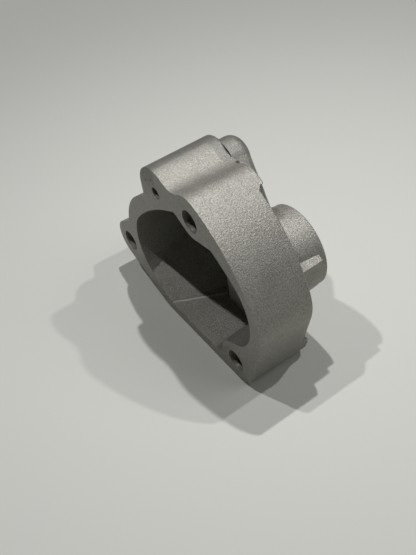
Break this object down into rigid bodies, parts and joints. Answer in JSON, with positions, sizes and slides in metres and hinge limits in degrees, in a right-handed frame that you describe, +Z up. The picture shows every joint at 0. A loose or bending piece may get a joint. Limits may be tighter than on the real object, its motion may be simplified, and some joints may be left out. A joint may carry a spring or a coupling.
{
  "type": "oil pump housing",
  "caption": "Die-cast aluminium oil pump housing: a flat-faced shell round an open pump cavity, screw bosses at its rim, and a hollow spigot with an oil gallery ridge behind",
  "frame": {"origin": "centre of the bounding box across X and Y, on the flat side that the housing rests on (z = 0)", "axes": "Z up from the flat side; Y along the shaft, from the mating face (-Y) to the spigot (+Y); X along the flat side, with the long screw ear at -X"},
  "size_m": [0.075, 0.0274, 0.0573],
  "materials": {
    "cast_aluminium": "blasted die-cast skin, matt, with fine sparkle"
  },
  "bodies": {
    "root": {"pump_housing": "cast_aluminium"}
  },
  "joints": []
}
